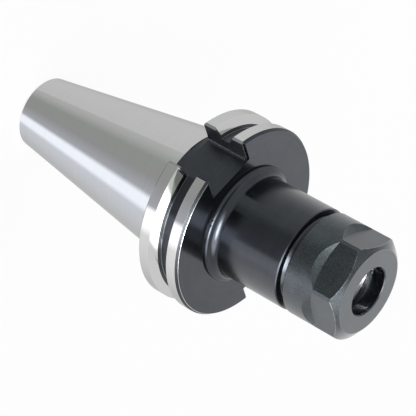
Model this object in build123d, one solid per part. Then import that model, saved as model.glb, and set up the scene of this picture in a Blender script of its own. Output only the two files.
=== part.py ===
from build123d import *
import os
from math import cos, radians, sin, sqrt, tan

# Collet chuck holder: a steep taper shank with a gripper flange and a straight neck, turned from one
# bar, and the hexagonal nut that clamps a collet in its nose. Millimetres. The origin is the centre of
# the gauge line, +Z runs towards the nut and +X points out of the shallower of the two key slots.

# Taper shank. Heights on the body are measured from the gauge line.
GAUGE_DIAMETER = 44.45
TAPER_RATIO = 7 / 24  # diameter lost for each unit of length
TAPER_LENGTH = 68.4
SMALL_END_CHAMFER = 0.4
RELIEF_DIAMETER = 44.0  # turned down between the cone and the flange
RELIEF_CHAMFER = 0.4

# Gripper flange
FLANGE_DIAMETER = 63.55
FLANGE_REAR = 3.2
FLANGE_THICKNESS = 15.9
REAR_CHAMFER = 0.5
FRONT_CHAMFER_DEPTH = 0.6
FRONT_CHAMFER_LENGTH = 0.9
GROOVE_CENTRE = 11.05
GROOVE_WIDTH = 7.36
GROOVE_DEPTH = 3.7
GROOVE_HALF_ANGLE = 30

# Key slots, cut right through the flange on opposite sides, one deeper than the other
SLOT_WIDTH = 16.1
SLOT_FLOOR = 22.8
OPPOSITE_SLOT_FLOOR = 25.0
SLOT_CORNER_ROUND = 1.0
SLOT_CHAMFER = 0.7

# Neck, with the raised ring at its foot, which slopes up to the neck
FOOT_RING_DIAMETER = 39.4
FOOT_RING_HEIGHT = 1.0
FOOT_RING_ROUND = 0.95
FOOT_RING_RISE = 0.8
FOOT_FILLET = 2.6
NECK_DIAMETER = 34.0
NECK_END = 45.3
NECK_CHAMFER = 0.3

# Nose: a spigot with a sloping foot, which bottoms the open groove behind the nut, then the nut's thread
SPIGOT_DIAMETER = 28.0
SPIGOT_FOOT_WIDTH = 0.6
SPIGOT_FOOT_HEIGHT = 1.0
NUT_GAP = 2.4
NUT_SEAT_CLEARANCE = 0.3
NOSE_THREAD_DIAMETER = 25.0
NOSE_THREAD_PITCH = 1.5
NOSE_LENGTH = 11.6
NOSE_CHAMFER = 0.6
UNDERCUT_LENGTH = 2.0
UNDERCUT_DEPTH = 0.3

# Collet pocket, and the hole that joins it to the pull stud's thread
POCKET_MOUTH_DIAMETER = 21.0
POCKET_HALF_ANGLE = 8
POCKET_DEPTH = 30.0
POCKET_EDGE = 0.2
THROUGH_DIAMETER = 11.0
STUD_PILOT_DIAMETER = 17.0
STUD_PILOT_DEPTH = 8.0
STUD_PILOT_CHAMFER = 0.5
STUD_THREAD_CORE = 13.835
STUD_THREAD_END = 34.0  # from the small end
DRILL_HALF_ANGLE = 59

# Clamping nut
NUT_DIAMETER = 34.0
NUT_LENGTH = 19.6
NUT_REAR_CHAMFER = 0.5
NUT_FACE_DIAMETER = 28.0
NUT_CONE_LENGTH = 2.2
ACROSS_FLATS = 30.0
FLAT_START = 7.7  # from the nut's rear face to the run-out's nearest point
FLAT_ANGLE = 22.75
FLAT_COUNT = 6
FLAT_CUTTER_DIAMETER = 64.0
OPENING_DIAMETER = 15.8
OPENING_CHAMFER = 0.3
LIP_LENGTH = 4.4
NUT_THREAD_CHAMFER = 0.8
THREAD_RELIEF_LENGTH = 2.2
THREAD_RELIEF_DEPTH = 0.2

# Inside the nut, the cone that pushes the collet in and the eccentric ring that pulls it out
COLLET_CONE_HALF_ANGLE = 30
COLLET_CONE_LENGTH = 1.4
RING_GROOVE_DIAMETER = 20.6
RING_GROOVE_LENGTH = 0.6
RING_DIAMETER = 19.2
RING_OFFSET = 0.6
RING_OFFSET_ANGLE = -140
RING_CLEARANCE = 0.4

# Worked out from the sizes above
SMALL_END = -TAPER_LENGTH
FLANGE_FRONT = FLANGE_REAR + FLANGE_THICKNESS
NUT_REAR = NECK_END + NUT_GAP
NUT_FRONT = NUT_REAR + NUT_LENGTH
NOSE_END = NUT_REAR + NOSE_LENGTH
RING_REAR = NOSE_END + RING_CLEARANCE
NOSE_CORE_RADIUS = (NOSE_THREAD_DIAMETER - 1.2269 * NOSE_THREAD_PITCH) / 2
PAST = 1.0  # how far a cutter runs past the face that it opens


def turned(*corners):
    """A solid turned about Z. Each corner is a radius, a height and, where it is rounded, its fillet."""
    points = [(corner[0], 0, corner[1]) for corner in corners]
    fillets = [corner[2] if len(corner) > 2 else 0 for corner in corners]
    return revolve(make_face(FilletPolyline(*points, radius=fillets, close=True)), Axis.Z)


def shank_and_flange():
    """The taper, the relief and the flange with its V groove, without bores or slots."""
    gauge = GAUGE_DIAMETER / 2
    small_end = gauge - TAPER_LENGTH * TAPER_RATIO / 2
    relief = RELIEF_DIAMETER / 2
    rim = FLANGE_DIAMETER / 2
    root_half_width = GROOVE_WIDTH / 2 - GROOVE_DEPTH * tan(radians(GROOVE_HALF_ANGLE))
    return turned(
        (0, SMALL_END),
        (small_end - SMALL_END_CHAMFER, SMALL_END),
        (small_end + SMALL_END_CHAMFER * TAPER_RATIO / 2, SMALL_END + SMALL_END_CHAMFER),
        (gauge, 0),
        (relief, RELIEF_CHAMFER),
        (relief, FLANGE_REAR),
        (rim - REAR_CHAMFER, FLANGE_REAR),
        (rim, FLANGE_REAR + REAR_CHAMFER),
        (rim, GROOVE_CENTRE - GROOVE_WIDTH / 2),
        (rim - GROOVE_DEPTH, GROOVE_CENTRE - root_half_width),
        (rim - GROOVE_DEPTH, GROOVE_CENTRE + root_half_width),
        (rim, GROOVE_CENTRE + GROOVE_WIDTH / 2),
        (rim, FLANGE_FRONT - FRONT_CHAMFER_LENGTH),
        (rim - FRONT_CHAMFER_DEPTH, FLANGE_FRONT),
        (0, FLANGE_FRONT),
    )


def neck_and_nose():
    """The foot ring, the neck, the spigot and the threaded nose at its core diameter."""
    foot = FOOT_RING_DIAMETER / 2
    neck = NECK_DIAMETER / 2
    spigot = SPIGOT_DIAMETER / 2
    spigot_end = NUT_REAR - NUT_SEAT_CLEARANCE
    undercut = NOSE_CORE_RADIUS - UNDERCUT_DEPTH
    ring_top = FLANGE_FRONT + FOOT_RING_HEIGHT
    ring_width = foot - neck
    return turned(
        (0, FLANGE_FRONT - PAST),
        (foot, FLANGE_FRONT - PAST),
        (foot, ring_top, min(FOOT_RING_ROUND, 0.352 * ring_width)),
        (neck, ring_top + FOOT_RING_RISE, min(FOOT_FILLET, 0.965 * ring_width)),
        (neck, NECK_END - NECK_CHAMFER),
        (neck - NECK_CHAMFER, NECK_END),
        (spigot + SPIGOT_FOOT_WIDTH, NECK_END),
        (spigot, NECK_END + SPIGOT_FOOT_HEIGHT),
        (spigot, spigot_end),
        (undercut, spigot_end),
        (undercut, spigot_end + UNDERCUT_LENGTH - UNDERCUT_DEPTH),
        (NOSE_CORE_RADIUS, spigot_end + UNDERCUT_LENGTH),
        (NOSE_CORE_RADIUS, NOSE_END - NOSE_CHAMFER),
        (NOSE_CORE_RADIUS - NOSE_CHAMFER, NOSE_END),
        (0, NOSE_END),
    )


def body_bore():
    """The space inside the body: pull stud pilot and thread, through hole and collet pocket."""
    pilot = STUD_PILOT_DIAMETER / 2
    thread = STUD_THREAD_CORE / 2
    through = THROUGH_DIAMETER / 2
    mouth = POCKET_MOUTH_DIAMETER / 2
    drill_point = (thread - through) / tan(radians(DRILL_HALF_ANGLE))
    return turned(
        (0, SMALL_END - PAST),
        (pilot + STUD_PILOT_CHAMFER + PAST, SMALL_END - PAST),
        (pilot, SMALL_END + STUD_PILOT_CHAMFER),
        (pilot, SMALL_END + STUD_PILOT_DEPTH),
        (thread, SMALL_END + STUD_PILOT_DEPTH),
        (thread, SMALL_END + STUD_THREAD_END),
        (through, SMALL_END + STUD_THREAD_END + drill_point),
        (through, NOSE_END - POCKET_DEPTH),
        (mouth - POCKET_DEPTH * tan(radians(POCKET_HALF_ANGLE)), NOSE_END - POCKET_DEPTH),
        (mouth - POCKET_EDGE * tan(radians(POCKET_HALF_ANGLE)), NOSE_END - POCKET_EDGE),
        (mouth + POCKET_EDGE, NOSE_END),
        (mouth + POCKET_EDGE, NOSE_END + PAST),
        (0, NOSE_END + PAST),
    )


def key_slot(floor):
    """Cutter for the slot on the +X side: rounded floor corners, chamfered rim and face edges."""
    rim = FLANGE_DIAMETER / 2
    half = SLOT_WIDTH / 2
    rim_x = sqrt(rim**2 - (half + SLOT_CHAMFER) ** 2)
    outside = rim + PAST
    flare = half + SLOT_CHAMFER + outside - rim_x
    section = FilletPolyline(
        (floor, -half),
        (rim_x - SLOT_CHAMFER, -half),
        (outside, -flare),
        (outside, flare),
        (rim_x - SLOT_CHAMFER, half),
        (floor, half),
        radius=[SLOT_CORNER_ROUND, 0, 0, 0, 0, SLOT_CORNER_ROUND],
        close=True,
    )
    channel = extrude(make_face(section), FLANGE_THICKNESS + 2 * PAST)
    face_edge = Polyline(
        (0, -half, FLANGE_FRONT - SLOT_CHAMFER),
        (0, half, FLANGE_FRONT - SLOT_CHAMFER),
        (0, half + SLOT_CHAMFER + PAST, FLANGE_FRONT + PAST),
        (0, -half - SLOT_CHAMFER - PAST, FLANGE_FRONT + PAST),
        close=True,
    )
    bevel = extrude(make_face(face_edge), outside - floor, dir=(1, 0, 0))
    return Pos(0, 0, FLANGE_REAR - PAST) * channel + Pos(floor, 0, 0) * bevel


def holder_body():
    """The one-piece body."""
    slots = key_slot(SLOT_FLOOR) + Rot(0, 0, 180) * key_slot(OPPOSITE_SLOT_FLOOR)
    return shank_and_flange() - slots + neck_and_nose() - body_bore()


def nut_bore():
    """The space inside the nut: thread, collet ring, collet cone and front opening."""
    thread = NOSE_THREAD_DIAMETER / 2
    relief = thread + THREAD_RELIEF_DEPTH
    groove = RING_GROOVE_DIAMETER / 2
    opening = OPENING_DIAMETER / 2
    cone = opening + COLLET_CONE_LENGTH * tan(radians(COLLET_CONE_HALF_ANGLE))
    cone_front = NUT_FRONT - LIP_LENGTH
    cone_rear = cone_front - COLLET_CONE_LENGTH
    ring_front = cone_rear - RING_GROOVE_LENGTH
    threaded = turned(
        (0, NUT_REAR - PAST),
        (thread + NUT_THREAD_CHAMFER + PAST, NUT_REAR - PAST),
        (thread, NUT_REAR + NUT_THREAD_CHAMFER),
        (thread, RING_REAR - THREAD_RELIEF_LENGTH),
        (relief, RING_REAR - THREAD_RELIEF_LENGTH + THREAD_RELIEF_DEPTH),
        (relief, RING_REAR),
        (0, RING_REAR),
    )
    front = turned(
        (0, ring_front),
        (groove, ring_front),
        (groove, cone_rear),
        (cone, cone_rear),
        (opening, cone_front),
        (opening, NUT_FRONT - OPENING_CHAMFER),
        (opening + OPENING_CHAMFER + PAST, NUT_FRONT + PAST),
        (0, NUT_FRONT + PAST),
    )
    offset = radians(RING_OFFSET_ANGLE)
    ring_height = ring_front - RING_REAR
    ring = Pos(
        RING_OFFSET * cos(offset), RING_OFFSET * sin(offset), RING_REAR + ring_height / 2
    ) * Cylinder(RING_DIAMETER / 2, ring_height)
    return threaded + ring + front


def flat_cutter(angle):
    """The disc cutter that sweeps one spanner flat, bevelled so that it leaves a sloping run-out."""
    depth = (NUT_DIAMETER - ACROSS_FLATS) / 2
    radius = FLAT_CUTTER_DIAMETER / 2
    height = depth + PAST
    outwards = Vector(cos(radians(angle)), sin(radians(angle)), 0)
    centre = outwards * (ACROSS_FLATS / 2) + Vector(0, 0, NUT_REAR + FLAT_START + depth + radius)
    disc = Cone(radius, radius + height, height, align=(Align.CENTER, Align.CENTER, Align.MIN))
    return Plane(origin=centre, z_dir=outwards) * disc


def clamping_nut():
    """The nut, one piece with its collet ring."""
    rim = NUT_DIAMETER / 2
    nut = turned(
        (0, NUT_REAR),
        (rim - NUT_REAR_CHAMFER, NUT_REAR),
        (rim, NUT_REAR + NUT_REAR_CHAMFER),
        (rim, NUT_FRONT - NUT_CONE_LENGTH),
        (NUT_FACE_DIAMETER / 2, NUT_FRONT),
        (0, NUT_FRONT),
    )
    for number in range(FLAT_COUNT):
        nut -= flat_cutter(FLAT_ANGLE + 360 / FLAT_COUNT * number)
    return nut - nut_bore()


os.makedirs("parts", exist_ok=True)
export_step(holder_body(), "parts/holder_body.step")
export_step(clamping_nut(), "parts/clamping_nut.step")
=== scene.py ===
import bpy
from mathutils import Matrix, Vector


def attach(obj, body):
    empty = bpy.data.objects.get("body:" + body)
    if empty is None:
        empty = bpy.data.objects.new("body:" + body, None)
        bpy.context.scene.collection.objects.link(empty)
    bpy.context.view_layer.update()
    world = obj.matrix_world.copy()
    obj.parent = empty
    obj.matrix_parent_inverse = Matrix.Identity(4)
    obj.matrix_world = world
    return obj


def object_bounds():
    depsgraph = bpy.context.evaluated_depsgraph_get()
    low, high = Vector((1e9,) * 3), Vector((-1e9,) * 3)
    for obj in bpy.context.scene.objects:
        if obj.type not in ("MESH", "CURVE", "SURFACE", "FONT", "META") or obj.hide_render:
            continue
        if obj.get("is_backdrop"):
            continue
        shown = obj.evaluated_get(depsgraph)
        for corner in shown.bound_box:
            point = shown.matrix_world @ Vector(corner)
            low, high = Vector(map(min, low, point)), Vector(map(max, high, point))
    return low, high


bl_info = {
    "name": "Collet Chuck Holder",
    "version": (1, 0, 0),
    "blender": (4, 5, 0),
    "location": "View3D > Sidebar > Holder",
    "description": "Finishes a collet chuck holder on its CAD frame: metal, threads and studio",
    "category": "Object",
}

from math import atan2, cos, pi, radians, sin

import bmesh
import bpy
from bpy.props import FloatProperty, FloatVectorProperty, IntProperty, PointerProperty
from bpy.types import NodeSocket, Operator, Panel, PropertyGroup
from mathutils import Matrix, Vector

MILLIMETRES = 1000.0  # in a metre
WHITE = (1.0, 1.0, 1.0, 1.0)
POCKET_STEEL = (0.7, 0.7, 0.7, 1.0)
SPECULAR_TINT = (0.75, 0.75, 0.75, 1.0)

# Faces of the body by their limits in millimetres, each with its soft edge. The radius is from the axis,
# the height from the gauge line, and beside is the distance from the key slots' middle plane.
FACES = {
    "taper": (("height", -90.0, 0.02, 0.03), ("radius", 9.05, 40.0, 0.03)),
    "rims": (("radius", 29.1, 40.0, 0.03), ("height", 3.24, 18.2, 0.02), ("beside", 8.8, 60.0, 0.03)),
    "pocket": (("radius", -1.0, 10.65, 0.03), ("height", 29.4, 59.28, 0.03)),
    "slots": (("beside", -1.0, 8.2, 0.03), ("radius", 21.0, 40.0, 0.03), ("height", 3.0, 19.05, 0.02)),
    "chamfer": (("radius", 31.22, 40.0, 0.02), ("height", 18.2, 19.05, 0.02)),
    # The next mask paints a highlight: a thin line of bright steel on the front chamfer's edge, which only
    # the near side gets
    "painted_chamfer_highlight": (("radius", 31.09, 31.21, 0.02), ("height", 18.8, 19.6, 0.03)),
    "slot_edges": (("radius", 31.0, 40.0, 0.03), ("beside", 8.15, 8.75, 0.03), ("height", 0.0, 18.4, 0.03)),
    "groove_root": (("radius", 27.9, 28.25, 0.03), ("height", 9.35, 9.7, 0.03)),
    "groove": (("height", 5.0, 16.0, 0.5), ("beside", 8.8, 60.0, 0.1)),
}
EDGE_WEAR = 0.22  # how much steel shows at the slots' edges and the groove's root
# Painted highlight: the chamfer's bright edge line is kept to the near side, where the light falls on it
PAINTED_HIGHLIGHT_SIDE = (4.0, 12.0)  # where the bright line on the chamfer's edge sets in, on the near side

# The rear flank's shading dips towards the groove's root, over an arc of the near side
DISH_RADIUS = 31.7
DISH_SLOPE = -0.23
DISH_SETS_IN = (9.0, 17.0)
DISH_RUNS_OUT = (24.5, 28.5)

# Gloss of the black film at a flat angle, and roughness, in the places that differ
NECK_START = (21.5, 31.0)  # heights over which the flange's values give way to the neck's
FLANGE_GLOSS, NECK_GLOSS, SLOT_GLOSS = 0.14, 0.48, 0.4
# The bore's gloss here is set low to paint shade: the film inside the nut's bore gets little gloss, so the
# bore renders darker
NUT_GLOSS, NUT_CONE_GLOSS, NUT_BORE_SHADE_GLOSS = 0.48, 0.75, 0.1
MATT_ROUGHNESS, POCKET_ROUGHNESS, NUT_BORE_ROUGHNESS = 0.42, 0.28, 0.2
FLANGE_ROUGHNESS_SHARE = 0.6

# The nut's flats and front cone, and the wear where they meet
FLAT_TURNS = (22.75, 82.75, 142.75)
FLAT_BAND = (14.9, 15.1)
CONE_START = 65.1
CONE_SLOPE = 3 / 2.2
CONE_BAND = (16.8, 17.2)
NUT_BORE_EDGE = (8.15, 8.4)
NUT_WEAR = 0.3

# The light tent: brightness by direction in degrees about the axis. It is a pale room with a gap between
# its walls in front and one bright strip beside it. "steep" is for directions that point far down, "low"
# for those above them, with "side" added on its upper part, and "high" for the rest. A new ramp's own
# stops are removed by their order, so the first and last stop here must stand just inside its ends.
TENT = {
    "steep": [(-179.5, 0.45), (-155, 0.35), (-110, 0.5), (-40, 0.45), (0, 0.25), (35, 0.25), (65, 0.35),
              (75, 0.85), (95, 0.85), (105, 0.55), (179.5, 0.45)],
    "low": [(-179.5, 0.45), (-155, 0.3), (-110, 0.5), (-10, 0.45), (5, 0.25), (30, 0.25), (60, 0.35),
            (65, 1.0), (85, 1.0), (95, 0.6), (179.5, 0.45)],
    "high": [(-179.5, 0.55), (-160, 0.6), (-150, 0.85), (-140, 0.8), (-130, 0.5), (0, 0.45),
             (179.5, 0.55)],
    "side": [(-179.5, 0.0), (60, 0.0), (80, 0.2), (95, 0.45), (110, 0.45), (140, 0.15), (160, 0.0),
             (179.5, 0.0)],
}
GREEN_CAST, BLUE_CAST, NO_CAST = (0.97, 1.03, 0.97), (0.96, 0.995, 1.07), (1.0, 1.0, 1.0)
TENT_BRIGHTNESS = 2.0
# Height of a direction, as its z, over which one ramp gives way to the next
LOW_FROM, SIDE_FROM, HIGH_FROM = (-0.66, -0.56), (-0.52, -0.46), (-0.30, -0.05)
# Soft boxes that the metal reflects: turn about the axis, height, reach and soft edge in degrees, brightness
SOFT_BOXES = [(67, 37, 13, 8, 9.0), (79, 38, 32, 12, 2.2)]

THREAD_FLANK = 0.577  # half width of a ridge gained for each unit of depth, on a 60 degree thread
RIDGE_SUNK = 0.00005  # how deep a ridge is sunk into the wall that it stands on
NOSE_CREST_SHARE, NUT_CREST_SHARE = 0.12, 0.2

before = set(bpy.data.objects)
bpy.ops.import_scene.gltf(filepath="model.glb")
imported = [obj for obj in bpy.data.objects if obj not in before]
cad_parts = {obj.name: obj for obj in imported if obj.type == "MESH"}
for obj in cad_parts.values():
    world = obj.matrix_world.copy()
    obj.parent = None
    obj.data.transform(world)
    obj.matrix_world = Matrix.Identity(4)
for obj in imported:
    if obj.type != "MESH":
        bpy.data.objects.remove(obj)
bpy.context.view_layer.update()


class HolderThreads(PropertyGroup):
    """Sizes of the clamping thread between the nose and the nut."""

    pitch: FloatProperty(name="Pitch", description="Axial distance of one turn", default=0.0015,
                         unit="LENGTH")
    nose_root: FloatProperty(name="Nose root", description="Radius of the nose between its ridges",
                             default=0.01158, unit="LENGTH")
    nose_crest: FloatProperty(name="Nose crest", description="Radius over the nose's ridges",
                              default=0.01244, unit="LENGTH")
    nut_root: FloatProperty(name="Nut root", description="Radius of the nut's bore between its ridges",
                            default=0.0125, unit="LENGTH")
    nut_crest: FloatProperty(name="Nut crest", description="Radius inside the nut's ridges",
                             default=0.01168, unit="LENGTH")
    start: FloatProperty(name="Start", description="Height of the nose's first turn above the gauge line",
                         default=0.0502, unit="LENGTH")
    nose_turns: FloatProperty(name="Nose turns", description="Turns on the nose", default=5.4)
    nut_turns: FloatProperty(name="Nut turns", description="Turns in the nut", default=5.0)
    steps: IntProperty(name="Steps", description="Sections in one turn", default=56)


class HolderFinish(PropertyGroup):
    """Colours and roughness of the two metals."""

    steel: FloatVectorProperty(name="Ground steel", description="Colour of the ground faces",
                               subtype="COLOR", default=(0.53, 0.53, 0.53))
    steel_roughness: FloatProperty(name="Steel roughness", description="Roughness of the ground faces",
                                   default=0.08, subtype="FACTOR")
    oxide: FloatVectorProperty(name="Black oxide", description="Colour of the blackened faces of the body",
                               subtype="COLOR", default=(0.040, 0.044, 0.052))
    oxide_roughness: FloatProperty(name="Oxide roughness", description="Roughness of the blackened faces",
                                   default=0.22, subtype="FACTOR")
    nut: FloatVectorProperty(name="Nut", description="Colour of the nut's blackened faces", subtype="COLOR",
                             default=(0.055, 0.063, 0.070))
    nut_roughness: FloatProperty(name="Nut roughness", description="Roughness of the nut",
                                 default=0.34, subtype="FACTOR")


class HolderStudio(PropertyGroup):
    """Camera, surround and floor."""

    place: FloatVectorProperty(name="Camera", description="Place of the camera", subtype="TRANSLATION",
                               default=(0.48925, 0.2306, 0.3289))
    target: FloatVectorProperty(name="Target", description="Point that the camera looks at",
                                subtype="TRANSLATION", default=(-0.00245, 0.00051, 0.00334))
    roll: FloatProperty(name="Roll", description="Turn of the camera about its own axis",
                        default=radians(119.1), subtype="ANGLE")
    lens: FloatProperty(name="Lens", description="Focal length in millimetres", default=174.39)
    surround: FloatProperty(name="Surround", description="Brightness of the surround for dull surfaces",
                            default=0.75)
    floor: FloatVectorProperty(name="Floor", description="Colour of the floor", subtype="COLOR",
                               default=(0.85, 0.85, 0.85))


def connect(tree, value, socket):
    """Links an output to a socket, or sets the socket to a plain value."""
    if isinstance(value, NodeSocket):
        tree.links.new(value, socket)
    else:
        socket.default_value = value


def node(tree, kind, inputs=None, **settings):
    """A new node with its settings, and its inputs by name or number."""
    made = tree.nodes.new(kind)
    for name, value in settings.items():
        setattr(made, name, value)
    for name, value in (inputs or {}).items():
        connect(tree, value, made.inputs[name])
    return made


def math(tree, operation, *values, clamp=False):
    """The result of a Math node."""
    inputs = dict(enumerate(values))
    return node(tree, "ShaderNodeMath", inputs, operation=operation, use_clamp=clamp).outputs[0]


def vector_math(tree, operation, inputs, output=0):
    """The result of a Vector Math node: 0 is its vector and 1 its value."""
    return node(tree, "ShaderNodeVectorMath", inputs, operation=operation).outputs[output]


def mix_values(tree, factor, first, second):
    """A value between two values."""
    return node(tree, "ShaderNodeMix", {0: factor, 2: first, 3: second}, data_type="FLOAT").outputs[0]


def mix_colours(tree, factor, first, second, blend="MIX"):
    """A colour between two colours."""
    made = node(tree, "ShaderNodeMix", {0: factor, 6: first, 7: second}, data_type="RGBA",
                blend_type=blend)
    return made.outputs[2]


def between(tree, value, low, high):
    """Runs smoothly from 0 at low to 1 at high."""
    made = node(tree, "ShaderNodeMapRange", {0: value, 1: low, 2: high},
                interpolation_type="SMOOTHSTEP", clamp=True)
    return made.outputs[0]


def new_group(name, inputs, outputs):
    """An empty node group with its sockets."""
    group = bpy.data.node_groups.new(name, "ShaderNodeTree")
    for label, kind, value in inputs:
        socket = group.interface.new_socket(label, in_out="INPUT", socket_type=kind)
        if value is not None:
            socket.default_value = value
    for label, kind in outputs:
        group.interface.new_socket(label, in_out="OUTPUT", socket_type=kind)
    return group, group.nodes.new("NodeGroupInput"), group.nodes.new("NodeGroupOutput")


def use_group(tree, name, inputs):
    """A group placed in a material with its own values."""
    made = tree.nodes.new("ShaderNodeGroup")
    made.node_tree = bpy.data.node_groups[name]
    for label, value in inputs.items():
        connect(tree, value, made.inputs[label])
    return made


def axis_place_group():
    """Where a point lies about the holder's axis: radius and height in millimetres, and direction."""
    group, enter, leave = new_group(
        "Place About Axis",
        [("Vector", "NodeSocketVector", None)],
        [("Radius", "NodeSocketFloat"), ("Height", "NodeSocketFloat"), ("Outwards", "NodeSocketVector")],
    )
    scaled = vector_math(group, "SCALE", {0: enter.outputs[0], 3: MILLIMETRES})
    split = node(group, "ShaderNodeSeparateXYZ", {0: scaled})
    flat = node(group, "ShaderNodeCombineXYZ", {0: split.outputs[0], 1: split.outputs[1], 2: 0.0})
    connect(group, vector_math(group, "LENGTH", {0: flat.outputs[0]}, output=1), leave.inputs[0])
    connect(group, split.outputs[2], leave.inputs[1])
    connect(group, vector_math(group, "NORMALIZE", {0: flat.outputs[0]}), leave.inputs[2])


def band_group():
    """1 where a value lies between two limits, with soft edges."""
    group, enter, leave = new_group(
        "Band",
        [("Value", "NodeSocketFloat", 0.0), ("Low", "NodeSocketFloat", 0.0),
         ("High", "NodeSocketFloat", 1.0), ("Soft", "NodeSocketFloat", 0.1)],
        [("Mask", "NodeSocketFloat")],
    )
    value, low, high, soft = enter.outputs[:4]
    rise = between(group, value, math(group, "SUBTRACT", low, soft), math(group, "ADD", low, soft))
    fall = between(group, value, math(group, "SUBTRACT", high, soft), math(group, "ADD", high, soft))
    connect(group, math(group, "SUBTRACT", rise, fall, clamp=True), leave.inputs[0])


def turning_lines_group():
    """Fine lines that run round the axis, as a lathe or a grinding wheel leaves them."""
    group, enter, leave = new_group(
        "Turning Lines",
        [("Vector", "NodeSocketVector", None), ("Lines", "NodeSocketFloat", 3.0),
         ("Around", "NodeSocketFloat", 1.0), ("Detail", "NodeSocketFloat", 3.0)],
        [("Value", "NodeSocketFloat")],
    )
    place = use_group(group, "Place About Axis", {"Vector": enter.outputs["Vector"]})
    along = math(group, "ADD", place.outputs["Radius"], place.outputs["Height"])
    along = math(group, "MULTIPLY", along, enter.outputs["Lines"])
    around = vector_math(group, "SCALE", {0: place.outputs["Outwards"], 3: enter.outputs["Around"]})
    lift = node(group, "ShaderNodeCombineXYZ", {0: 0.0, 1: 0.0, 2: along}).outputs[0]
    where = vector_math(group, "ADD", {0: around, 1: lift})
    noise = node(group, "ShaderNodeTexNoise", {"Vector": where, "Scale": 1.0, "Roughness": 0.6,
                                               "Detail": enter.outputs["Detail"]})
    connect(group, noise.outputs[0], leave.inputs[0])


def oxide_group():
    """Black oxide: a dark skin that is a little uneven in tone and gloss."""
    group, enter, leave = new_group(
        "Black Oxide",
        [("Vector", "NodeSocketVector", None), ("Color", "NodeSocketColor", (0.02, 0.02, 0.02, 1.0)),
         ("Roughness", "NodeSocketFloat", 0.3), ("Patches", "NodeSocketFloat", 0.3),
         ("Lines", "NodeSocketFloat", 2.5), ("Line Share", "NodeSocketFloat", 0.8),
         ("Speckle", "NodeSocketFloat", 0.5)],
        [("Color", "NodeSocketColor"), ("Roughness", "NodeSocketFloat"), ("Height", "NodeSocketFloat")],
    )
    vector = enter.outputs["Vector"]
    patches = node(group, "ShaderNodeTexNoise", {"Vector": vector, "Scale": 130.0, "Detail": 5.0,
                                                 "Roughness": 0.65}).outputs[0]
    grain = node(group, "ShaderNodeTexNoise", {"Vector": vector, "Scale": 2600.0, "Detail": 2.0})
    grain = math(group, "SUBTRACT", grain.outputs[0], 0.5)
    lines = use_group(group, "Turning Lines", {"Vector": vector, "Lines": enter.outputs["Lines"],
                                               "Around": 0.6}).outputs[0]
    lines = math(group, "MULTIPLY", math(group, "SUBTRACT", lines, 0.5), enter.outputs["Line Share"])
    tone = math(group, "SUBTRACT", patches, 0.5)
    tone = math(group, "MULTIPLY_ADD", grain, enter.outputs["Speckle"], tone)
    tone = math(group, "ADD", lines, tone)
    shift = math(group, "MULTIPLY_ADD", math(group, "MULTIPLY", tone, enter.outputs["Patches"]), 2.0, 1.0)
    colour = vector_math(group, "SCALE", {0: enter.outputs["Color"], 3: shift})
    connect(group, colour, leave.inputs["Color"])
    rough = math(group, "MULTIPLY_ADD", tone, 0.12, enter.outputs["Roughness"])
    connect(group, rough, leave.inputs["Roughness"])
    connect(group, math(group, "MULTIPLY_ADD", grain, 0.35, lines), leave.inputs["Height"])


def ground_steel_group():
    """Bright ground steel with fine lines round the axis."""
    group, enter, leave = new_group(
        "Ground Steel",
        [("Vector", "NodeSocketVector", None), ("Color", "NodeSocketColor", (0.5, 0.5, 0.5, 1.0)),
         ("Roughness", "NodeSocketFloat", 0.2)],
        [("Color", "NodeSocketColor"), ("Roughness", "NodeSocketFloat"), ("Height", "NodeSocketFloat")],
    )
    vector = enter.outputs["Vector"]
    fine = use_group(group, "Turning Lines", {"Vector": vector, "Lines": 5.0, "Around": 2.0}).outputs[0]
    wide = use_group(group, "Turning Lines", {"Vector": vector, "Lines": 0.7, "Around": 0.4}).outputs[0]
    tone = math(group, "ADD", math(group, "MULTIPLY", math(group, "SUBTRACT", fine, 0.5), 0.14),
                math(group, "MULTIPLY", math(group, "SUBTRACT", wide, 0.5), 0.04))
    shift = math(group, "ADD", tone, 1.0)
    colour = vector_math(group, "SCALE", {0: enter.outputs["Color"], 3: shift})
    connect(group, colour, leave.inputs["Color"])
    rough = math(group, "MULTIPLY_ADD", tone, 0.4, enter.outputs["Roughness"])
    connect(group, rough, leave.inputs["Roughness"])
    connect(group, fine, leave.inputs["Height"])


def make_groups():
    """All node groups, once."""
    if "Place About Axis" not in bpy.data.node_groups:
        axis_place_group()
        band_group()
        turning_lines_group()
        oxide_group()
        ground_steel_group()


def empty_material(name):
    """A material and its node tree, with nothing in it."""
    material = bpy.data.materials.new(name)
    material.use_nodes = True
    material.node_tree.nodes.clear()
    return material, material.node_tree


def metal_material(name, anisotropy):
    """A material whose shader stretches its highlights across lines that run round the axis."""
    material, tree = empty_material(name)
    tangent = node(tree, "ShaderNodeTangent", direction_type="RADIAL", axis="Z")
    shader = node(tree, "ShaderNodeBsdfPrincipled", {
        "IOR": 1.5, "Specular Tint": SPECULAR_TINT, "Anisotropic": anisotropy,
        "Anisotropic Rotation": 0.25, "Tangent": tangent.outputs[0],
    })
    node(tree, "ShaderNodeOutputMaterial", {0: shader.outputs[0]})
    return material, tree, shader


def opaque(colour):
    """A property's colour as a socket takes it."""
    return (*colour, 1.0)


def glossy_film(tree, colour, amount):
    """A dark film's colour with its gloss, which is stronger at a flat angle."""
    facing = node(tree, "ShaderNodeLayerWeight", {"Blend": 0.5}).outputs["Facing"]
    share = math(tree, "MULTIPLY", math(tree, "POWER", facing, 3.0), amount)
    return mix_colours(tree, share, colour, WHITE)


def flank_dish(tree, places, side, groove):
    """Height of the dip in the rear flank's shading."""
    inwards = math(tree, "MINIMUM", math(tree, "SUBTRACT", places["radius"], DISH_RADIUS), 0.0)
    arc = math(tree, "SUBTRACT", between(tree, places["beside"], *DISH_SETS_IN),
               between(tree, places["beside"], *DISH_RUNS_OUT))
    dish = math(tree, "MULTIPLY", inwards, DISH_SLOPE)
    for mask in (groove, math(tree, "GREATER_THAN", side, 0.0), arc):
        dish = math(tree, "MULTIPLY", dish, mask)
    return dish


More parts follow.
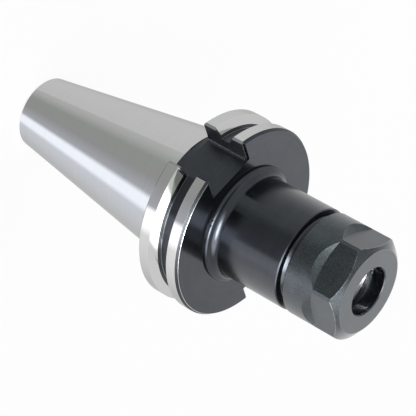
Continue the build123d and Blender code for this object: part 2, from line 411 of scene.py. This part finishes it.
def body_material(finish):
    """Ground steel on the fitted faces of the body, black oxide on the rest, and a painted highlight of
    bright steel on the near side of the chamfer's edge.
    """
    material, tree, shader = metal_material("Holder Body Steel", 0.6)
    vector = node(tree, "ShaderNodeTexCoord").outputs["Object"]
    place = use_group(tree, "Place About Axis", {"Vector": vector})
    side = node(tree, "ShaderNodeSeparateXYZ", {0: vector}).outputs[1]
    side = math(tree, "MULTIPLY", side, MILLIMETRES)
    places = {"radius": place.outputs["Radius"], "height": place.outputs["Height"],
              "beside": math(tree, "ABSOLUTE", side)}
    masks = {}
    for name, limits in FACES.items():
        for number, (where, low, high, soft) in enumerate(limits):
            band = use_group(tree, "Band", {"Value": places[where], "Low": low, "High": high, "Soft": soft})
            band = band.outputs[0]
            masks[name] = math(tree, "MULTIPLY", masks[name], band) if number else band

    # Painted highlight: bright steel on the chamfer's edge, on the near side only
    painted_chamfer_highlight = math(tree, "MULTIPLY", masks["painted_chamfer_highlight"], between(tree, side, *PAINTED_HIGHLIGHT_SIDE))
    worn = math(tree, "MAXIMUM", masks["slot_edges"], masks["groove_root"])
    worn = math(tree, "MULTIPLY", worn, EDGE_WEAR)
    bright = masks["taper"]
    for mask in (masks["rims"], masks["pocket"], painted_chamfer_highlight, worn):
        bright = math(tree, "MAXIMUM", bright, mask)

    steel = use_group(tree, "Ground Steel", {"Vector": vector, "Color": opaque(finish.steel),
                                             "Roughness": finish.steel_roughness})
    oxide = use_group(tree, "Black Oxide", {"Vector": vector, "Color": opaque(finish.oxide),
                                            "Roughness": finish.oxide_roughness})
    neck = between(tree, places["height"], *NECK_START)
    amount = math(tree, "MAXIMUM", mix_values(tree, neck, FLANGE_GLOSS, NECK_GLOSS),
                  math(tree, "MULTIPLY", masks["slots"], SLOT_GLOSS))
    film = glossy_film(tree, oxide.outputs["Color"], amount)
    metal = mix_colours(tree, masks["pocket"], steel.outputs["Color"], POCKET_STEEL)
    connect(tree, mix_colours(tree, bright, film, metal), shader.inputs["Base Color"])
    connect(tree, mix_values(tree, bright, 0.95, 1.0), shader.inputs["Metallic"])

    ground = mix_values(tree, masks["pocket"], steel.outputs["Roughness"], POCKET_ROUGHNESS)
    satin = math(tree, "MULTIPLY", oxide.outputs["Roughness"],
                 mix_values(tree, neck, FLANGE_ROUGHNESS_SHARE, 1.0))
    matt = math(tree, "MAXIMUM", masks["slots"], masks["chamfer"])
    satin = mix_values(tree, matt, satin, MATT_ROUGHNESS)
    connect(tree, mix_values(tree, bright, satin, ground), shader.inputs["Roughness"])

    shallow = math(tree, "MULTIPLY", steel.outputs["Height"], 0.6)
    relief = mix_values(tree, bright, oxide.outputs["Height"], shallow)
    dish = flank_dish(tree, places, side, masks["groove"])
    dished = node(tree, "ShaderNodeBump", {"Strength": 1.0, "Distance": 0.001, "Height": dish})
    bump = node(tree, "ShaderNodeBump", {"Strength": 0.5, "Distance": 0.00002, "Height": relief,
                                         "Normal": dished.outputs[0]})
    connect(tree, bump.outputs[0], shader.inputs["Normal"])
    return material


def nut_material(finish):
    """Black oxide, a little greyer than on the body, worn where the flats meet the front cone, and darker
    inside the bore as painted shade.
    """
    material, tree, shader = metal_material("Clamping Nut Steel", 0.4)
    shader.inputs["Metallic"].default_value = 0.95
    vector = node(tree, "ShaderNodeTexCoord").outputs["Object"]
    oxide = use_group(tree, "Black Oxide", {"Vector": vector, "Color": opaque(finish.nut), "Patches": 0.5,
                                            "Roughness": finish.nut_roughness, "Line Share": 0.25,
                                            "Speckle": 1.5})
    bump = node(tree, "ShaderNodeBump", {"Strength": 0.5, "Distance": 0.00003,
                                         "Height": oxide.outputs["Height"]})
    connect(tree, bump.outputs[0], shader.inputs["Normal"])

    def band(value, limits):
        made = use_group(tree, "Band", {"Value": value, "Low": limits[0], "High": limits[1], "Soft": 0.06})
        return made.outputs[0]

    hexagon = 0.0
    for turn in FLAT_TURNS:
        across = (cos(radians(turn)), sin(radians(turn)), 0.0)
        reach = vector_math(tree, "DOT_PRODUCT", {0: vector, 1: across}, output=1)
        hexagon = math(tree, "MAXIMUM", math(tree, "ABSOLUTE", reach), hexagon)
    place = use_group(tree, "Place About Axis", {"Vector": vector})
    radius, height = place.outputs["Radius"], place.outputs["Height"]
    # The same all over the cone: the nut's radius at its foot
    slope = math(tree, "MULTIPLY_ADD", math(tree, "SUBTRACT", height, CONE_START), CONE_SLOPE, radius)
    flats = band(math(tree, "MULTIPLY", hexagon, MILLIMETRES), FLAT_BAND)
    cone = band(slope, CONE_BAND)
    noise = node(tree, "ShaderNodeTexNoise", {"Vector": vector, "Scale": 900.0, "Detail": 3.0}).outputs[0]
    wear = math(tree, "MULTIPLY", math(tree, "MULTIPLY", flats, cone), between(tree, noise, 0.3, 0.6))

    # Painted shade: inside the bore the film gets less gloss, so the bore is darker
    outside = between(tree, radius, *NUT_BORE_EDGE)
    amount = mix_values(tree, outside, NUT_BORE_SHADE_GLOSS, mix_values(tree, cone, NUT_GLOSS, NUT_CONE_GLOSS))
    film = glossy_film(tree, oxide.outputs["Color"], amount)
    worn = mix_colours(tree, math(tree, "MULTIPLY", wear, NUT_WEAR), film, opaque(finish.steel))
    connect(tree, worn, shader.inputs["Base Color"])
    rough = mix_values(tree, outside, NUT_BORE_ROUGHNESS, oxide.outputs["Roughness"])
    connect(tree, rough, shader.inputs["Roughness"])
    return material


def dress_node(name, material):
    """Gives a CAD node its material."""
    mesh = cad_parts[name].data
    mesh.materials.clear()
    mesh.materials.append(material)


def thread_ridge(name, root, crest, start, turns, pitch, steps, crest_share):
    """A helical ridge between two radii, its ends run out into the root."""
    mesh = bmesh.new()
    half_crest = pitch * crest_share / 2
    half_root = half_crest + abs(crest - root) * THREAD_FLANK
    buried = root - RIDGE_SUNK if crest > root else root + RIDGE_SUNK
    section = [(buried, -half_root), (root, -half_root), (crest, -half_crest), (crest, half_crest),
               (root, half_root), (buried, half_root)]
    corners = [mesh.verts.new((x, 0, start + z)) for x, z in section]
    for first, second in zip(corners, corners[1:]):
        mesh.edges.new((first, second))
    count = int(steps * turns)
    angle = 2 * pi * count / steps
    bmesh.ops.spin(mesh, geom=mesh.verts[:] + mesh.edges[:], cent=(0, 0, 0), axis=(0, 0, 1),
                   dvec=(0, 0, pitch / steps), angle=angle, steps=count, use_merge=False,
                   use_duplicate=False)
    run_out = steps // 6
    mesh.verts.ensure_lookup_table()
    for vertex in mesh.verts:
        across = Vector((vertex.co.x, vertex.co.y, 0))
        turn = atan2(vertex.co.y, vertex.co.x) % (2 * pi)
        lift = vertex.co.z - start - pitch * turn / (2 * pi)
        whole = round(lift / pitch)
        done = (whole + turn / (2 * pi)) * steps
        share = max(0.0, min(1.0, done / run_out, (count - done) / run_out))
        reach = across.length
        if (reach - root) * (crest - root) > 0:
            across *= (root + (reach - root) * share) / reach
            vertex.co.x, vertex.co.y = across.x, across.y
    bmesh.ops.holes_fill(mesh, edges=mesh.edges[:], sides=0)
    bmesh.ops.recalc_face_normals(mesh, faces=mesh.faces[:])
    return mesh_object(name, mesh)


def mesh_object(name, mesh):
    """Puts a finished mesh into the scene as an object."""
    data = bpy.data.meshes.new(name)
    mesh.to_mesh(data)
    mesh.free()
    made = bpy.data.objects.new(name, data)
    bpy.context.scene.collection.objects.link(made)
    return made


def tent_ramp(tree, turn, stops, greenish=(0, 0), bluish=(0, 0)):
    """Brightness round the axis, with a faint green cast between two directions and a blue one."""
    made = node(tree, "ShaderNodeValToRGB", {0: turn})
    elements = made.color_ramp.elements
    for place, level in stops:
        cast = NO_CAST
        if greenish[0] <= place <= greenish[1]:
            cast = GREEN_CAST
        elif bluish[0] <= place <= bluish[1]:
            cast = BLUE_CAST
        element = elements.new((place + 180) / 360)
        element.color = (level * cast[0], level * cast[1], level * cast[2], 1.0)
    elements.remove(elements[0])
    elements.remove(elements[-1])
    return made.outputs[0]


def tent_light(tree):
    """The colour that the metal sees in each direction."""
    direction = node(tree, "ShaderNodeTexCoord").outputs["Generated"]
    split = node(tree, "ShaderNodeSeparateXYZ", {0: direction})
    turn = math(tree, "ARCTAN2", split.outputs[1], split.outputs[0])
    turn = math(tree, "MULTIPLY_ADD", turn, 1 / (2 * pi), 0.5)
    height = split.outputs[2]
    steep = tent_ramp(tree, turn, TENT["steep"], (-10, 20), (40, 110))
    low = tent_ramp(tree, turn, TENT["low"], (-10, 20), (40, 60))
    high = tent_ramp(tree, turn, TENT["high"])
    side = tent_ramp(tree, turn, TENT["side"])
    low = mix_colours(tree, between(tree, height, *SIDE_FROM), low, side, "ADD")
    seen = mix_colours(tree, between(tree, height, *LOW_FROM), steep, low)
    seen = mix_colours(tree, between(tree, height, *HIGH_FROM), seen, high)
    for about, above, reach, edge, level in SOFT_BOXES:
        towards = (cos(radians(about)) * cos(radians(above)), sin(radians(about)) * cos(radians(above)),
                   sin(radians(above)))
        near = vector_math(tree, "DOT_PRODUCT", {0: direction, 1: towards}, output=1)
        lit = between(tree, near, cos(radians(reach + edge)), cos(radians(reach - edge)))
        seen = mix_colours(tree, lit, seen, (level, level, level, 1.0), "ADD")
    return seen


def surround_world(studio):
    """A white background, and the light tent that the metal reflects."""
    world = bpy.data.worlds.new("Studio Surround")
    world.use_nodes = True
    tree = world.node_tree
    tree.nodes.clear()

    def background(colour, strength):
        return node(tree, "ShaderNodeBackground", {0: colour, 1: strength}).outputs[0]

    def choose(factor, first, second):
        return node(tree, "ShaderNodeMixShader", {0: factor, 1: first, 2: second}).outputs[0]

    path = node(tree, "ShaderNodeLightPath")
    lit = choose(path.outputs["Is Glossy Ray"], background(WHITE, studio.surround),
                 background(tent_light(tree), TENT_BRIGHTNESS))
    whole = choose(path.outputs["Is Camera Ray"], lit, background(WHITE, 1.0))
    node(tree, "ShaderNodeOutputWorld", {0: whole})
    bpy.context.scene.world = world


def soft_lamp(name, place, size, power):
    """A large square lamp that points at the holder."""
    lamp = bpy.data.lights.new(name, "AREA")
    lamp.shape = "SQUARE"
    lamp.size = size
    lamp.energy = power
    made = bpy.data.objects.new(name, lamp)
    made.location = place
    made.rotation_euler = (-Vector(place)).to_track_quat("-Z", "Y").to_euler()
    made.visible_glossy = False
    bpy.context.scene.collection.objects.link(made)


def floor_material(studio):
    """White to the camera, with a faint shadow."""
    material, tree = empty_material("Studio Floor")
    matt = node(tree, "ShaderNodeBsdfDiffuse", {0: opaque(studio.floor)}).outputs[0]
    white = node(tree, "ShaderNodeEmission", {0: WHITE, 1: 1.0}).outputs[0]
    path = node(tree, "ShaderNodeLightPath")
    share = math(tree, "MULTIPLY", path.outputs["Is Camera Ray"], 0.88)
    mixed = node(tree, "ShaderNodeMixShader", {0: share, 1: matt, 2: white}).outputs[0]
    node(tree, "ShaderNodeOutputMaterial", {0: mixed})
    return material


def studio_floor(studio):
    """A wide disc under the holder that only takes its shadow."""
    mesh = bmesh.new()
    bmesh.ops.create_circle(mesh, cap_ends=True, radius=3.0, segments=96)
    bmesh.ops.translate(mesh, verts=mesh.verts[:], vec=(0, 0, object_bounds()[0][2]))
    floor = mesh_object("Studio_Floor", mesh)
    floor.data.materials.append(floor_material(studio))
    floor.visible_glossy = False
    floor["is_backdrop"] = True


def studio_camera(studio):
    """The camera, placed, aimed and rolled as the picture was taken."""
    scene = bpy.context.scene
    view = bpy.data.cameras.new("Camera")
    view.lens = studio.lens
    view.sensor_width = 36.0
    view.clip_start = 0.01
    view.clip_end = 20.0
    camera = bpy.data.objects.new("Camera", view)
    place = Vector(studio.place)
    turn = (Vector(studio.target) - place).to_track_quat("-Z", "Y").to_matrix().to_4x4()
    camera.matrix_world = Matrix.Translation(place) @ turn @ Matrix.Rotation(studio.roll, 4, "Z")
    scene.collection.objects.link(camera)
    scene.camera = camera


class HOLDER_OT_stage(Operator):
    """Builds the floor, the surround, the lamps and the camera"""

    bl_idname = "holder.stage"
    bl_label = "Stage"

    def execute(self, context):
        studio = context.scene.holder_studio
        context.scene.view_settings.view_transform = "Standard"
        studio_floor(studio)
        surround_world(studio)
        soft_lamp("Lamp_Key", (0.1, -0.9, 1.0), 0.9, 6.0)
        soft_lamp("Lamp_Fill", (0.7, 0.9, 0.5), 0.9, 4.0)
        studio_camera(studio)
        return {"FINISHED"}


class HOLDER_OT_body(Operator):
    """Finishes the body: ground steel and black oxide"""

    bl_idname = "holder.body"
    bl_label = "Body"

    def execute(self, context):
        make_groups()
        dress_node("holder_body", body_material(context.scene.holder_finish))
        return {"FINISHED"}


class HOLDER_OT_nut(Operator):
    """Finishes the clamping nut: grey black oxide over turned and milled faces"""

    bl_idname = "holder.nut"
    bl_label = "Nut"

    def execute(self, context):
        make_groups()
        dress_node("clamping_nut", nut_material(context.scene.holder_finish))
        return {"FINISHED"}


class HOLDER_OT_threads(Operator):
    """Adds the ridges of the clamping thread on the nose and in the nut"""

    bl_idname = "holder.threads"
    bl_label = "Threads"

    def execute(self, context):
        sizes = context.scene.holder_threads
        nose = thread_ridge("Nose_Thread", sizes.nose_root, sizes.nose_crest, sizes.start,
                            sizes.nose_turns, sizes.pitch, sizes.steps, NOSE_CREST_SHARE)
        nut = thread_ridge("Nut_Thread", sizes.nut_root, sizes.nut_crest, sizes.start - sizes.pitch / 2,
                           sizes.nut_turns, sizes.pitch, sizes.steps, NUT_CREST_SHARE)
        nose.data.materials.append(bpy.data.materials["Holder Body Steel"])
        nut.data.materials.append(bpy.data.materials["Clamping Nut Steel"])
        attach(nose, "holder")
        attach(nut, "nut")
        return {"FINISHED"}


class HOLDER_PT_panel(Panel):
    """Lists the sizes, colours and steps"""

    bl_label = "Collet Chuck Holder"
    bl_idname = "HOLDER_PT_panel"
    bl_space_type = "VIEW_3D"
    bl_region_type = "UI"
    bl_category = "Holder"

    def draw(self, context):
        scene = context.scene
        for group in (scene.holder_threads, scene.holder_finish, scene.holder_studio):
            box = self.layout.box()
            for name in group.bl_rna.properties.keys():
                if name not in ("rna_type", "name"):
                    box.prop(group, name)
        for operator in (HOLDER_OT_stage, HOLDER_OT_body, HOLDER_OT_nut, HOLDER_OT_threads):
            self.layout.operator(operator.bl_idname)


CLASSES = (HolderThreads, HolderFinish, HolderStudio, HOLDER_OT_stage, HOLDER_OT_body, HOLDER_OT_nut,
           HOLDER_OT_threads, HOLDER_PT_panel)


def register():
    for cls in CLASSES:
        bpy.utils.register_class(cls)
    bpy.types.Scene.holder_threads = PointerProperty(type=HolderThreads)
    bpy.types.Scene.holder_finish = PointerProperty(type=HolderFinish)
    bpy.types.Scene.holder_studio = PointerProperty(type=HolderStudio)


def unregister():
    del bpy.types.Scene.holder_studio
    del bpy.types.Scene.holder_finish
    del bpy.types.Scene.holder_threads
    for cls in reversed(CLASSES):
        bpy.utils.unregister_class(cls)


def main():
    register()
    bpy.ops.holder.stage()
    bpy.ops.holder.body()
    bpy.ops.holder.nut()
    bpy.ops.holder.threads()


if __name__ == "__main__":
    main()
